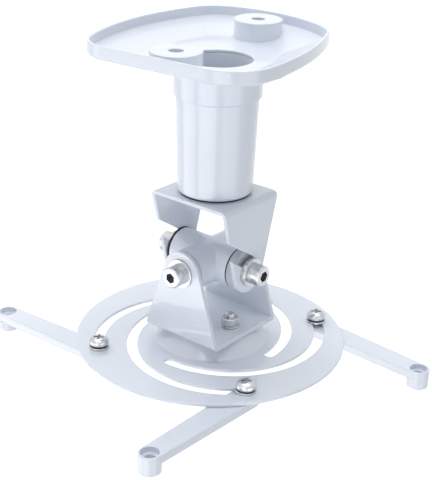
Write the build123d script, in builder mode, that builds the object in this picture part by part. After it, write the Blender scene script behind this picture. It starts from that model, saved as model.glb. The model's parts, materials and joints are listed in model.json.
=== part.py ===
from build123d import *
import math
import os

# Projector ceiling mount: dished ceiling plate, swivel column, crossed-axis knuckle and a four-arm plate.
# Millimetres, +Z up. The origin is the centre of the two ceiling holes, in the ceiling plane.

# Ceiling plate
hole_spacing = 95.9
hole_line_angle = 99.4
ceiling_hole_radius = 4.2
boss_radius = 15.0
rim_height = 8.0
plate_sheet = 2.0
dish_drop = 5.7
flat_share = 0.6
plate_corner_radius = 25.0
left_corner = (-41.6, -72.35)
front_corner = (66.33, -62.55)
right_corner = (40.27, 55.7)
back_corner = (-53.5, 58.49)
plate_centre = (2.78, -5.13)
cable_hole_radius = 20.0

# Column on the swivel axis
axis_x = 6.96
axis_y = -8.69
collar_radius = 26.2
collar_bottom = -33.0
column_top_radius = 24.6
column_bottom_radius = 23.0
column_wall = 3.2
friction_inset = 0.5
friction_height = 0.7
spigot_radius = 22.4
floor_thickness = 5.0

# Fits between the parts
running_clear = 0.06
thread_clear = 0.04
bolt_clear = 0.3
seat_clear = 0.1
slide_clear = 0.1

# Upper bracket, a folded inverted U with two hooked ears
sheet = 2.6
upper_bend_inside = 1.0
lower_bend_inside = 0.6
bracket_top = -93.0
upper_half_span = 28.84
upper_half_width = 25.55
ear_end_radius = 13.5
hook_half_width = 4.45
hook_drop = 5.9
hook_angle = 33.0
knuckle_z = -138.3

# Knuckle, screws and washers of the tilt and roll axes
knuckle_radius = 13.0
tilt_gap = 1.9
roll_gap = 1.9
friction_washer_radius = 13.4
screw_radius = 4.0
socket_head_radius = 6.5
socket_head_height = 8.0
hex_socket_radius = 3.46
hex_socket_depth = 4.0
zinc_washer_radius = 9.0
tilt_washer_thickness = 3.0
roll_washer_thickness = 1.6
screw_grip = 11.0

# Lower bracket, a folded upright U
lower_half_span = 30.2
lower_half_width = 28.34
lower_bottom = -182.6
plate_bolt_offset = 15.5
plate_bolt_radius = 3.0
plate_bolt_corner_radius = 5.77
plate_bolt_head_height = 3.6
plate_bolt_reach = 8.8
plate_washer_radius = 6.0
plate_washer_thickness = 1.4
plate_nut_height = 5.0

# Adapter disc with a pressed hub and four spiral slots
disc_radius = 85.0
disc_top = -191.2
disc_sheet = 2.0
hub_foot_radius = 36.0
hub_top_radius = 26.0
slot_centre_distance = 14.9
slot_centre_angle = 350.0
slot_radius = 58.9
slot_outer_angle = 320.4
slot_inner_angle = 181.5
slot_half_width = 3.25

# Arms and their screws
arm_length = 80.8
arm_thickness = 5.5
arm_screw_end_radius = 8.5
arm_boss_radius = 6.75
arm_boss_height = 12.0
arm_head_hole_radius = 5.3
arm_foot_hole_radius = 3.2
arm_ledge_depth = 7.0
arm_screw_radius = 3.0
pan_head_radius = 6.0
pan_head_height = 4.4
arm_washer_radius = 6.3
arm_washer_thickness = 1.4
arm_ring_thickness = 1.2
arm_ring_radius = 5.4
arm_directions = (268.5, 356.3, 89.0, 182.2)

# Swivel bolt and its nut
swivel_radius = 5.0
swivel_head_radius = 9.8
swivel_head_height = 6.4
swivel_nut_radius = 9.2
swivel_nut_height = 6.0
swivel_washer_thickness = 1.6
swivel_washer_radius = 10.0

os.makedirs("parts", exist_ok=True)

# Heights that follow from the ones above
floor_top = -rim_height + plate_sheet
flat_top = floor_top - dish_drop
flat_under = flat_top - plate_sheet
hub_top = lower_bottom
hub_height = hub_top - disc_top
disc_under = disc_top - disc_sheet
arm_top = disc_under - slide_clear
column_bottom = bracket_top + friction_height
upper_inside = upper_half_span - sheet
lower_inside = lower_half_span - sheet
knuckle_half_x = upper_inside - tilt_gap
knuckle_half_y = lower_inside - roll_gap


def turned(distance, angle):
    return (distance * math.cos(math.radians(angle)), distance * math.sin(math.radians(angle)))


def bulged(start, end, height):
    dx = end[0] - start[0]
    dy = end[1] - start[1]
    length = math.hypot(dx, dy)
    middle_x = (start[0] + end[0]) / 2 + height * dy / length
    middle_y = (start[1] + end[1]) / 2 - height * dx / length
    return (middle_x, middle_y)


def pulled(point, share):
    x = plate_centre[0] + (point[0] - plate_centre[0]) * share
    y = plate_centre[1] + (point[1] - plate_centre[1]) * share
    return (x, y)


def plate_face(height, share, inset):
    left = pulled(left_corner, share)
    front = pulled(front_corner, share)
    right = pulled(right_corner, share)
    back = pulled(back_corner, share)
    with BuildSketch(Plane.XY.offset(height)) as face:
        with BuildLine():
            ThreePointArc(left, bulged(left, front, 0.3 * share), front)
            ThreePointArc(front, bulged(front, right, 8.6 * share), right)
            ThreePointArc(right, bulged(right, back, 13.1 * share), back)
            ThreePointArc(back, bulged(back, left, 15.3 * share), left)
        make_face()
        fillet(face.vertices(), plate_corner_radius * share)
        if inset:
            offset(amount=-inset, mode=Mode.REPLACE)
    return face.sketch


ceiling_holes = [turned(hole_spacing / 2, hole_line_angle), turned(-hole_spacing / 2, hole_line_angle)]
rim_face = plate_face(-rim_height, 1.0, 0)
flat_face = plate_face(flat_under, flat_share, 0)
tray_face = plate_face(floor_top, 1.0, plate_sheet)
tray_flat = plate_face(flat_top, flat_share, plate_sheet)
section = Plane(origin=(axis_x, axis_y, 0), x_dir=(1, 0, 0), z_dir=(0, -1, 0))
side = Plane(origin=(axis_x, axis_y, 0), x_dir=(0, 1, 0), z_dir=(1, 0, 0))
swivel_axis = Axis((axis_x, axis_y, 0), (0, 0, 1))

# The plate's outside form, before it is hollowed
with BuildPart() as plate_block:
    add(extrude(rim_face, amount=rim_height, dir=(0, 0, 1), mode=Mode.PRIVATE))
    loft([rim_face, flat_face], ruled=True)

# Screw bosses inside that form
with BuildPart() as boss_block:
    with BuildSketch(Plane.XY):
        with Locations(*ceiling_holes):
            Circle(boss_radius)
    extrude(amount=flat_under)
    add(plate_block.part, mode=Mode.INTERSECT)

# Ceiling plate: a dished tray with two screw bosses, a cable hole and a collar below
with BuildPart() as ceiling_plate:
    add(plate_block.part)
    loft([tray_face, tray_flat], ruled=True, mode=Mode.SUBTRACT)
    add(extrude(tray_face, amount=rim_height, dir=(0, 0, 1), mode=Mode.PRIVATE), mode=Mode.SUBTRACT)
    add(boss_block.part)
    with BuildSketch(Plane(origin=(axis_x, axis_y, flat_top - 0.5))):
        Circle(collar_radius)
    extrude(amount=collar_bottom - flat_top + 0.5)
    with BuildSketch(Plane(origin=(axis_x, axis_y, flat_under))):
        Circle(spigot_radius + running_clear)
    extrude(amount=collar_bottom - flat_under, mode=Mode.SUBTRACT)
    with BuildSketch(Plane(origin=(axis_x, axis_y, 0))):
        Circle(cable_hole_radius)
    extrude(amount=flat_under, mode=Mode.SUBTRACT)
    with BuildSketch(Plane.XY):
        with Locations(*ceiling_holes):
            Circle(ceiling_hole_radius)
    extrude(amount=flat_under - 1, mode=Mode.SUBTRACT)
ceiling_plate.part.label = "ceiling_plate"
export_step(ceiling_plate.part, "parts/ceiling_plate.step")

# Column: a tapered cup whose spigot sits inside the collar
column_floor = column_bottom + floor_thickness
with BuildPart() as column:
    with BuildSketch(section) as column_profile:
        with BuildLine():
            Polyline(
                (spigot_radius - column_wall, flat_under - 0.3),
                (spigot_radius, flat_under - 0.3),
                (spigot_radius, collar_bottom),
                (column_top_radius, collar_bottom),
                (column_bottom_radius, column_bottom),
                (swivel_radius + bolt_clear, column_bottom),
                (swivel_radius + bolt_clear, column_floor),
                (column_bottom_radius - column_wall, column_floor),
                close=True,
            )
        make_face()
        fillet(column_profile.vertices().group_by(Axis.Y)[0].sort_by(Axis.X)[-1], 2.0)
    revolve(axis=swivel_axis)
column.part.label = "column"
export_step(column.part, "parts/column.step")

# Friction washer between the column and the upper bracket
with BuildPart() as swivel_friction_washer:
    with BuildSketch(Plane(origin=(axis_x, axis_y, bracket_top))):
        Circle(column_bottom_radius - friction_inset)
        Circle(swivel_radius + bolt_clear, mode=Mode.SUBTRACT)
    extrude(amount=friction_height)
swivel_friction_washer.part.label = "swivel_friction_washer"
export_step(swivel_friction_washer.part, "parts/swivel_friction_washer.step")

# Swivel bolt, its head on the column's floor
nut_top = bracket_top - sheet - swivel_washer_thickness
nut_under = nut_top - swivel_nut_height
with BuildPart() as swivel_bolt:
    with BuildSketch(Plane(origin=(axis_x, axis_y, column_floor))):
        RegularPolygon(swivel_head_radius, 6)
    extrude(amount=swivel_head_height)
    with BuildSketch(Plane(origin=(axis_x, axis_y, column_floor))):
        Circle(swivel_radius)
    extrude(amount=nut_under - 1.0 - column_floor)
    chamfer(swivel_bolt.faces().sort_by(Axis.Z)[0].edges(), 0.8)
swivel_bolt.part.label = "swivel_bolt"
export_step(swivel_bolt.part, "parts/swivel_bolt.step")

# Steel washer under the bracket
with BuildPart() as swivel_washer:
    with BuildSketch(Plane(origin=(axis_x, axis_y, nut_top))):
        Circle(swivel_washer_radius)
        Circle(swivel_radius + bolt_clear, mode=Mode.SUBTRACT)
    extrude(amount=swivel_washer_thickness)
swivel_washer.part.label = "swivel_washer"
export_step(swivel_washer.part, "parts/swivel_washer.step")

# Lock nut of the swivel
with BuildPart() as swivel_nut:
    with BuildSketch(Plane(origin=(axis_x, axis_y, nut_under))):
        RegularPolygon(swivel_nut_radius, 6)
        Circle(swivel_radius + thread_clear, mode=Mode.SUBTRACT)
    extrude(amount=swivel_nut_height)
swivel_nut.part.label = "swivel_nut"
export_step(swivel_nut.part, "parts/swivel_nut.step")

# Upper bracket: folded strip, ears tapered to round ends, a hooked slot in each ear
turn = (0, knuckle_z)
hook_corner = (0, knuckle_z + hook_drop)
hook_reach = 32.0
hook_rise = hook_reach * math.sin(math.radians(hook_angle))
hook_run = hook_reach * math.cos(math.radians(hook_angle))
ear_bottom = knuckle_z - ear_end_radius - 1
with BuildPart() as upper_bracket:
    with BuildSketch(section) as upper_section:
        with BuildLine():
            Polyline(
                (-upper_half_span, ear_bottom),
                (-upper_half_span, bracket_top),
                (upper_half_span, bracket_top),
                (upper_half_span, ear_bottom),
                (upper_inside, ear_bottom),
                (upper_inside, bracket_top - sheet),
                (-upper_inside, bracket_top - sheet),
                (-upper_inside, ear_bottom),
                close=True,
            )
        make_face()
        fold_corners = upper_section.vertices().group_by(Axis.Y)
        fillet(fold_corners[-1], upper_bend_inside + sheet)
        fillet(fold_corners[-2], upper_bend_inside)
    extrude(amount=upper_half_width, both=True)
    with BuildSketch(side):
        with Locations(turn):
            Circle(ear_end_radius)
        with Locations((0, bracket_top - 0.5)):
            Rectangle(2 * upper_half_width, 1.0)
        make_hull()
    extrude(amount=upper_half_span + 1, both=True, mode=Mode.INTERSECT)
    with BuildSketch(side):
        with Locations((0, knuckle_z + hook_drop / 2)):
            SlotCenterToCenter(hook_drop, 2 * hook_half_width, rotation=90)
        with Locations((-hook_run / 2, hook_corner[1] + hook_rise / 2)):
            SlotCenterToCenter(hook_reach, 2 * hook_half_width, rotation=-hook_angle)
    extrude(amount=upper_half_span + 1, both=True, mode=Mode.SUBTRACT)
    with BuildSketch(Plane(origin=(axis_x, axis_y, bracket_top))):
        Circle(swivel_radius + running_clear)
    extrude(amount=-sheet, mode=Mode.SUBTRACT)
upper_bracket.part.label = "upper_bracket"
export_step(upper_bracket.part, "parts/upper_bracket.step")

# Knuckle: two crossed barrels with four tapped holes
centre = (axis_x, axis_y, knuckle_z)
along_x = Plane(origin=centre, x_dir=(0, 1, 0), z_dir=(1, 0, 0))
along_y = Plane(origin=centre, x_dir=(-1, 0, 0), z_dir=(0, 1, 0))
back_x = Plane(origin=centre, x_dir=(0, -1, 0), z_dir=(-1, 0, 0))
back_y = Plane(origin=centre, x_dir=(1, 0, 0), z_dir=(0, -1, 0))
tilt_tip = knuckle_half_x - screw_grip
roll_tip = knuckle_half_y - screw_grip
with BuildPart() as knuckle:
    with BuildSketch(along_x):
        Circle(knuckle_radius)
    extrude(amount=knuckle_half_x, both=True)
    with BuildSketch(along_y):
        Circle(knuckle_radius)
    extrude(amount=knuckle_half_y, both=True)
    chamfer(knuckle.faces().filter_by(GeomType.PLANE).edges(), 0.8)
    with BuildSketch(along_x.offset(tilt_tip - 1), back_x.offset(tilt_tip - 1)):
        Circle(screw_radius + thread_clear)
    extrude(amount=screw_grip + 2, mode=Mode.SUBTRACT)
    with BuildSketch(along_y.offset(roll_tip - 1), back_y.offset(roll_tip - 1)):
        Circle(screw_radius + thread_clear)
    extrude(amount=screw_grip + 2, mode=Mode.SUBTRACT)
knuckle.part.label = "knuckle"
export_step(knuckle.part, "parts/knuckle.step")


def socket_screw(plane, seat, tip):
    with BuildPart() as screw:
        with BuildSketch(plane.offset(tip)):
            Circle(screw_radius)
        extrude(amount=seat - tip)
        with BuildSketch(plane.offset(seat)):
            Circle(socket_head_radius)
        extrude(amount=socket_head_height)
        far = screw.faces().filter_by(GeomType.PLANE).sort_by(Axis((0, 0, 0), plane.z_dir))
        chamfer(far[-1].edges(), 0.7)
        chamfer(far[0].edges(), 0.7)
        with BuildSketch(plane.offset(seat + socket_head_height)):
            RegularPolygon(hex_socket_radius, 6)
        extrude(amount=-hex_socket_depth, mode=Mode.SUBTRACT)
    return screw.part


def flat_washer(plane, seat, thickness, outer, bore):
    with BuildPart() as washer:
        with BuildSketch(plane.offset(seat)):
            Circle(outer)
            Circle(bore, mode=Mode.SUBTRACT)
        extrude(amount=thickness)
    return washer.part


def shoulder_washer(plane, seat, thickness, shoulder):
    with BuildPart() as washer:
        with BuildSketch(plane.offset(seat)):
            Circle(friction_washer_radius)
        extrude(amount=thickness)
        with BuildSketch(plane.offset(seat + thickness)):
            Circle(hook_half_width - running_clear)
        extrude(amount=shoulder)
        with BuildSketch(plane.offset(seat)):
            Circle(screw_radius + seat_clear)
        extrude(amount=thickness + shoulder, mode=Mode.SUBTRACT)
    return washer.part


tilt_seat = upper_half_span + tilt_washer_thickness
roll_seat = lower_half_span + roll_washer_thickness
tilt_screw_right = socket_screw(along_x, tilt_seat, tilt_tip)
tilt_screw_left = socket_screw(back_x, tilt_seat, tilt_tip)
roll_screw_back = socket_screw(along_y, roll_seat, roll_tip)
roll_screw_front = socket_screw(back_y, roll_seat, roll_tip)
tilt_washer_right = flat_washer(along_x, upper_half_span, tilt_washer_thickness, zinc_washer_radius,
                                screw_radius + seat_clear)
tilt_washer_left = flat_washer(back_x, upper_half_span, tilt_washer_thickness, zinc_washer_radius,
                               screw_radius + seat_clear)
roll_washer_back = flat_washer(along_y, lower_half_span, roll_washer_thickness, zinc_washer_radius,
                               screw_radius + seat_clear)
roll_washer_front = flat_washer(back_y, lower_half_span, roll_washer_thickness, zinc_washer_radius,
                                screw_radius + seat_clear)
tilt_bush_right = shoulder_washer(along_x, knuckle_half_x, tilt_gap, sheet - 0.3)
tilt_bush_left = shoulder_washer(back_x, knuckle_half_x, tilt_gap, sheet - 0.3)
roll_bush_back = shoulder_washer(along_y, knuckle_half_y, roll_gap, sheet - 0.3)
roll_bush_front = shoulder_washer(back_y, knuckle_half_y, roll_gap, sheet - 0.3)
knuckle_fittings = {
    "tilt_screw_right": tilt_screw_right,
    "tilt_screw_left": tilt_screw_left,
    "roll_screw_back": roll_screw_back,
    "roll_screw_front": roll_screw_front,
    "tilt_washer_right": tilt_washer_right,
    "tilt_washer_left": tilt_washer_left,
    "roll_washer_back": roll_washer_back,
    "roll_washer_front": roll_washer_front,
    "tilt_bush_right": tilt_bush_right,
    "tilt_bush_left": tilt_bush_left,
    "roll_bush_back": roll_bush_back,
    "roll_bush_front": roll_bush_front,
}
for name, piece in knuckle_fittings.items():
    piece.label = name
    export_step(piece, f"parts/{name}.step")

# Lower bracket: folded upright U with round-ended ears, bolted to the disc
lower_top = knuckle_z + ear_end_radius + 1
with BuildPart() as lower_bracket:
    with BuildSketch(side) as lower_section:
        with BuildLine():
            Polyline(
                (-lower_half_span, lower_top),
                (-lower_half_span, lower_bottom),
                (lower_half_span, lower_bottom),
                (lower_half_span, lower_top),
                (lower_inside, lower_top),
                (lower_inside, lower_bottom + sheet),
                (-lower_inside, lower_bottom + sheet),
                (-lower_inside, lower_top),
                close=True,
            )
        make_face()
        fold_corners = lower_section.vertices().group_by(Axis.Y)
        fillet(fold_corners[0], lower_bend_inside + sheet)
        fillet(fold_corners[1], lower_bend_inside)
    extrude(amount=lower_half_width, both=True)
    with BuildSketch(section):
        with Locations(turn):
            Circle(ear_end_radius)
        with Locations((0, lower_bottom + 0.5)):
            Rectangle(2 * lower_half_width, 1.0)
        make_hull()
    extrude(amount=lower_half_span + 1, both=True, mode=Mode.INTERSECT)
    with BuildSketch(section):
        with Locations(turn):
            Circle(hook_half_width)
    extrude(amount=lower_half_span + 1, both=True, mode=Mode.SUBTRACT)
    with BuildSketch(Plane(origin=(axis_x, axis_y, lower_bottom))):
        with Locations((plate_bolt_offset, 0), (-plate_bolt_offset, 0)):
            Circle(plate_bolt_radius + bolt_clear)
    extrude(amount=sheet, mode=Mode.SUBTRACT)
lower_bracket.part.label = "lower_bracket"
export_step(lower_bracket.part, "parts/lower_bracket.step")

# Adapter disc: a pressed hub in the middle and four spiral slots around it
hub_shift = disc_sheet * math.tan(math.atan2(hub_height, hub_foot_radius - hub_top_radius) / 2)
with BuildPart() as adapter_disc:
    with BuildSketch(section) as disc_profile:
        with BuildLine():
            Polyline(
                (0, hub_top),
                (hub_top_radius, hub_top),
                (hub_foot_radius, disc_top),
                (disc_radius, disc_top),
                (disc_radius, disc_under),
                (hub_foot_radius - hub_shift, disc_under),
                (hub_top_radius - hub_shift, hub_top - disc_sheet),
                (0, hub_top - disc_sheet),
                close=True,
            )
        make_face()
        bends = disc_profile.vertices()
        crown = bends.sort_by_distance((hub_top_radius, hub_top))[0]
        foot = bends.sort_by_distance((hub_foot_radius, disc_top))[0]
        low_crown = bends.sort_by_distance((hub_top_radius - hub_shift, hub_top - disc_sheet))[0]
        low_foot = bends.sort_by_distance((hub_foot_radius - hub_shift, disc_under))[0]
        fillet([crown, low_foot], 4.0)
        fillet([foot, low_crown], 2.0)
        fillet(disc_profile.vertices().group_by(Axis.X)[-1], 0.7)
    revolve(axis=swivel_axis)
    with BuildSketch(Plane(origin=(axis_x, axis_y, disc_under))):
        for quarter in range(4):
            turn_angle = 90 * quarter
            slot_middle = turned(slot_centre_distance, slot_centre_angle + turn_angle)
            with BuildLine(mode=Mode.PRIVATE) as slot_line:
                CenterArc(slot_middle, slot_radius, slot_inner_angle + turn_angle,
                          slot_outer_angle - slot_inner_angle)
            SlotArc(slot_line.edge(), 2 * slot_half_width)
    extrude(amount=disc_sheet, mode=Mode.SUBTRACT)
    with BuildSketch(Plane(origin=(axis_x, axis_y, hub_top))):
        with Locations((plate_bolt_offset, 0), (-plate_bolt_offset, 0)):
            Circle(plate_bolt_radius + bolt_clear)
    extrude(amount=-disc_sheet, mode=Mode.SUBTRACT)
adapter_disc.part.label = "adapter_disc"
export_step(adapter_disc.part, "parts/adapter_disc.step")

# Bolts, washers and nuts that hold the lower bracket to the hub
bracket_floor = lower_bottom + sheet
bolt_head_top = hub_top - disc_sheet
with BuildPart() as bracket_bolts:
    with BuildSketch(Plane(origin=(axis_x, axis_y, bolt_head_top - plate_bolt_head_height))):
        with Locations((plate_bolt_offset, 0), (-plate_bolt_offset, 0)):
            RegularPolygon(plate_bolt_corner_radius, 6)
    extrude(amount=plate_bolt_head_height)
    with BuildSketch(Plane(origin=(axis_x, axis_y, bolt_head_top))):
        with Locations((plate_bolt_offset, 0), (-plate_bolt_offset, 0)):
            Circle(plate_bolt_radius)
    extrude(amount=bracket_floor + plate_bolt_reach - bolt_head_top)
    chamfer(bracket_bolts.faces().group_by(Axis.Z)[-1].edges(), 0.5)
bracket_bolts.part.label = "bracket_bolts"
export_step(bracket_bolts.part, "parts/bracket_bolts.step")

with BuildPart() as bracket_washers:
    with BuildSketch(Plane(origin=(axis_x, axis_y, bracket_floor))):
        with Locations((plate_bolt_offset, 0), (-plate_bolt_offset, 0)):
            Circle(plate_washer_radius)
            Circle(plate_bolt_radius + bolt_clear, mode=Mode.SUBTRACT)
    extrude(amount=plate_washer_thickness)
bracket_washers.part.label = "bracket_washers"
export_step(bracket_washers.part, "parts/bracket_washers.step")

with BuildPart() as bracket_nuts:
    with BuildSketch(Plane(origin=(axis_x, axis_y, bracket_floor + plate_washer_thickness))):
        with Locations((plate_bolt_offset, 0), (-plate_bolt_offset, 0)):
            RegularPolygon(plate_bolt_corner_radius, 6)
            Circle(plate_bolt_radius + thread_clear, mode=Mode.SUBTRACT)
    extrude(amount=plate_nut_height)
bracket_nuts.part.label = "bracket_nuts"
export_step(bracket_nuts.part, "parts/bracket_nuts.step")

# Arms: flat bars with a stepped boss at the free end, hung under the disc
arm_names = ("front", "right", "back", "left")
arm_seats = []
for quarter in range(4):
    slot_middle = turned(slot_centre_distance, slot_centre_angle + 90 * quarter)
    slot_end = turned(slot_radius, slot_outer_angle + 90 * quarter)
    arm_seats.append((axis_x + slot_middle[0] + slot_end[0], axis_y + slot_middle[1] + slot_end[1]))

for name, seat, direction in zip(arm_names, arm_seats, arm_directions):
    reach = turned(arm_length, direction)
    tip = (seat[0] + reach[0], seat[1] + reach[1])
    with BuildPart() as arm:
        with BuildSketch(Plane.XY.offset(arm_top)):
            with Locations(seat):
                Circle(arm_screw_end_radius)
            with Locations(tip):
                Circle(arm_boss_radius)
            make_hull()
        extrude(amount=-arm_thickness)
        fillet(arm.faces().sort_by(Axis.Z)[-1].edges(), 0.8)
        with BuildSketch(Plane.XY.offset(arm_top)):
            with Locations(tip):
                Circle(arm_boss_radius)
        extrude(amount=-arm_boss_height)
        chamfer(arm.faces().sort_by(Axis.Z)[0].edges(), 0.5)
        with BuildSketch(Plane.XY.offset(arm_top)):
            with Locations(seat):
                Circle(arm_screw_radius + thread_clear)
        extrude(amount=-arm_thickness, mode=Mode.SUBTRACT)
        with BuildSketch(Plane.XY.offset(arm_top)):
            with Locations(tip):
                Circle(arm_head_hole_radius)
        extrude(amount=-arm_ledge_depth, mode=Mode.SUBTRACT)
        with BuildSketch(Plane.XY.offset(arm_top)):
            with Locations(tip):
                Circle(arm_foot_hole_radius)
        extrude(amount=-arm_boss_height, mode=Mode.SUBTRACT)
    arm.part.label = "arm_" + name
    export_step(arm.part, "parts/arm_" + name + ".step")

# Arm screws with a dark ring and a zinc washer under each head
ring_base = disc_top + arm_washer_thickness
head_base = ring_base + arm_ring_thickness
for name, seat in zip(arm_names, arm_seats):
    with BuildPart() as arm_screw:
        with BuildSketch(Plane(origin=(seat[0], seat[1], head_base))):
            Circle(pan_head_radius)
        extrude(amount=pan_head_height)
        fillet(arm_screw.faces().sort_by(Axis.Z)[-1].edges(), 2.2)
        with BuildSketch(Plane(origin=(seat[0], seat[1], head_base))):
            Circle(arm_screw_radius)
        extrude(amount=arm_top - arm_thickness - head_base)
    arm_screw.part.label = "arm_screw_" + name
    export_step(arm_screw.part, "parts/arm_screw_" + name + ".step")
    with BuildPart() as arm_washer:
        with BuildSketch(Plane(origin=(seat[0], seat[1], disc_top))):
            Circle(arm_washer_radius)
            Circle(arm_screw_radius + seat_clear, mode=Mode.SUBTRACT)
        extrude(amount=arm_washer_thickness)
    arm_washer.part.label = "arm_washer_" + name
    export_step(arm_washer.part, "parts/arm_washer_" + name + ".step")
    with BuildPart() as arm_ring:
        with BuildSketch(Plane(origin=(seat[0], seat[1], ring_base))):
            Circle(arm_ring_radius)
            Circle(arm_screw_radius + seat_clear, mode=Mode.SUBTRACT)
        extrude(amount=arm_ring_thickness)
    arm_ring.part.label = "arm_ring_" + name
    export_step(arm_ring.part, "parts/arm_ring_" + name + ".step")
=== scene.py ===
"""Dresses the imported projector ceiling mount: softened forms, finishes, light and camera."""
import json
import logging
import math
from dataclasses import dataclass
from enum import Enum
from typing import Callable, Dict, List, Optional, Sequence, Tuple, Union

import bmesh
import bpy
from mathutils import Matrix, Vector

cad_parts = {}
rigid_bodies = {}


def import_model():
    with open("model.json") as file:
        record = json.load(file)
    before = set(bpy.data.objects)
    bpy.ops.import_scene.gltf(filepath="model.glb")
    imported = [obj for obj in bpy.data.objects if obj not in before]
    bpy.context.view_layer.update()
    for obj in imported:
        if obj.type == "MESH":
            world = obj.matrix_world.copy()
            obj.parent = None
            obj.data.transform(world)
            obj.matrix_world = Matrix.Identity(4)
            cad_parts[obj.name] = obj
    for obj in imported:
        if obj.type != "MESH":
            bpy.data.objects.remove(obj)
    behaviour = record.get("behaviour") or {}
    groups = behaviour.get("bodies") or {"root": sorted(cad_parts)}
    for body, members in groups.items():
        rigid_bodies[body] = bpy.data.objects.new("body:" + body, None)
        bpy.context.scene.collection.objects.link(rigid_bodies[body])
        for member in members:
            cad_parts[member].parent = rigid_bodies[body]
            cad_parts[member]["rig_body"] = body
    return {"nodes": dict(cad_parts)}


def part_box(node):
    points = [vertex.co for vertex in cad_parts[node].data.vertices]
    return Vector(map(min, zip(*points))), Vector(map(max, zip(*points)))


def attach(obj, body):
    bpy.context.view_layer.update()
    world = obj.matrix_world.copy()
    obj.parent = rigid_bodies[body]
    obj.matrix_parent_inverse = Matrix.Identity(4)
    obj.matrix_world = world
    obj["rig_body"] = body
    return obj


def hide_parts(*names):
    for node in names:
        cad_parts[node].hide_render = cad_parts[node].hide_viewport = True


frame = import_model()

LOG = logging.getLogger("ceiling_mount")
MM = 0.001
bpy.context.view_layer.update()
ARMS = ("front", "right", "back", "left")
Colour = Tuple[float, float, float]
Pair = Tuple[float, float]
Place = Sequence[float]
Sockets = Tuple[Tuple[str, float], ...]
Form = bmesh.types.BMesh
Edge = bmesh.types.BMEdge
Face = bmesh.types.BMFace
Socket = bpy.types.NodeSocket


class Direction(Enum):
    """Ways that a turned piece can point."""

    UP = (0.0, 0.0, 1.0)
    RIGHT = (1.0, 0.0, 0.0)
    LEFT = (-1.0, 0.0, 0.0)
    BACK = (0.0, 1.0, 0.0)
    FRONT = (0.0, -1.0, 0.0)


class Facing(Enum):
    """Planes for outlines: the outline's two directions and the way that it faces."""

    UP = ((1, 0, 0), (0, 1, 0), (0, 0, 1))
    FRONT = ((1, 0, 0), (0, 0, 1), (0, -1, 0))
    RIGHT = ((0, 1, 0), (0, 0, 1), (1, 0, 0))


class Cut(Enum):
    """What a second form does to a first one."""

    REMOVE = "DIFFERENCE"
    KEEP = "INTERSECT"


# How much farther out than in the CAD each end of the tilt barrel stands, in millimetres.
BARREL_GROWTH = {Direction.LEFT: 1.0, Direction.RIGHT: -3.8}


def linear(red: int, green: int, blue: int) -> Colour:
    """Turns a screen colour into the linear colour that the shader takes.

    Args:
        red: Red from 0 to 255.
        green: Green from 0 to 255.
        blue: Blue from 0 to 255.

    Returns:
        The three linear values.
    """
    values = []
    for channel in (red, green, blue):
        share = channel / 255
        values.append(share / 12.92 if share <= 0.04045 else ((share + 0.055) / 1.055) ** 2.4)
    return (values[0], values[1], values[2])


class NodeTree:
    """A material's nodes, with short ways to add and join them."""

    def __init__(self, name: str) -> None:
        """Starts a material with a Principled shader.

        Args:
            name: The material's name.
        """
        self.material = bpy.data.materials.new(name)
        self.material.use_nodes = True
        self.nodes = self.material.node_tree.nodes
        self.links = self.material.node_tree.links
        self.shader = self.nodes["Principled BSDF"]
        self.place = self.nodes.new("ShaderNodeTexCoord").outputs["Object"]

    def noise(self, scale: float, detail: float) -> Socket:
        """Adds a noise pattern on object coordinates.

        Args:
            scale: Cells per metre.
            detail: Octaves of finer noise.

        Returns:
            The noise's factor output.
        """
        noise = self.nodes.new("ShaderNodeTexNoise")
        noise.inputs["Scale"].default_value = scale
        noise.inputs["Detail"].default_value = detail
        self.links.new(self.place, noise.inputs["Vector"])
        return noise.outputs["Fac"]

    def ramp(self, factor: Socket, low: float, high: float) -> Socket:
        """Spreads a noise's usual range, 0.3 to 0.7, over other numbers.

        Args:
            factor: The socket to read.
            low: Result at 0.3.
            high: Result at 0.7.

        Returns:
            The spread value's socket.
        """
        spread = self.nodes.new("ShaderNodeMapRange")
        limits = {"From Min": 0.3, "From Max": 0.7, "To Min": low, "To Max": high}
        for name, value in limits.items():
            spread.inputs[name].default_value = value
        self.links.new(factor, spread.inputs["Value"])
        return spread.outputs["Result"]

    def blend(self, factor: Socket, first: Colour, second: Colour) -> Socket:
        """Mixes two colours by a factor.

        Args:
            factor: The socket to read.
            first: Colour at a low factor.
            second: Colour at a high factor.

        Returns:
            The mixed colour's socket.
        """
        mix = self.nodes.new("ShaderNodeMix")
        mix.data_type = "RGBA"
        mix.inputs["A"].default_value = (*first, 1)
        mix.inputs["B"].default_value = (*second, 1)
        self.links.new(self.ramp(factor, 0.0, 1.0), mix.inputs["Factor"])
        return mix.outputs["Result"]

    def bump(self, height: Socket, share: float, depth: float) -> None:
        """Adds a relief to the shader's normal.

        Args:
            height: The socket that gives the relief.
            share: Share of the relief that shows.
            depth: Height of the relief in metres.
        """
        bump = self.nodes.new("ShaderNodeBump")
        bump.inputs["Strength"].default_value = share
        bump.inputs["Distance"].default_value = depth
        self.links.new(height, bump.inputs["Height"])
        self.links.new(bump.outputs["Normal"], self.shader.inputs["Normal"])


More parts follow.
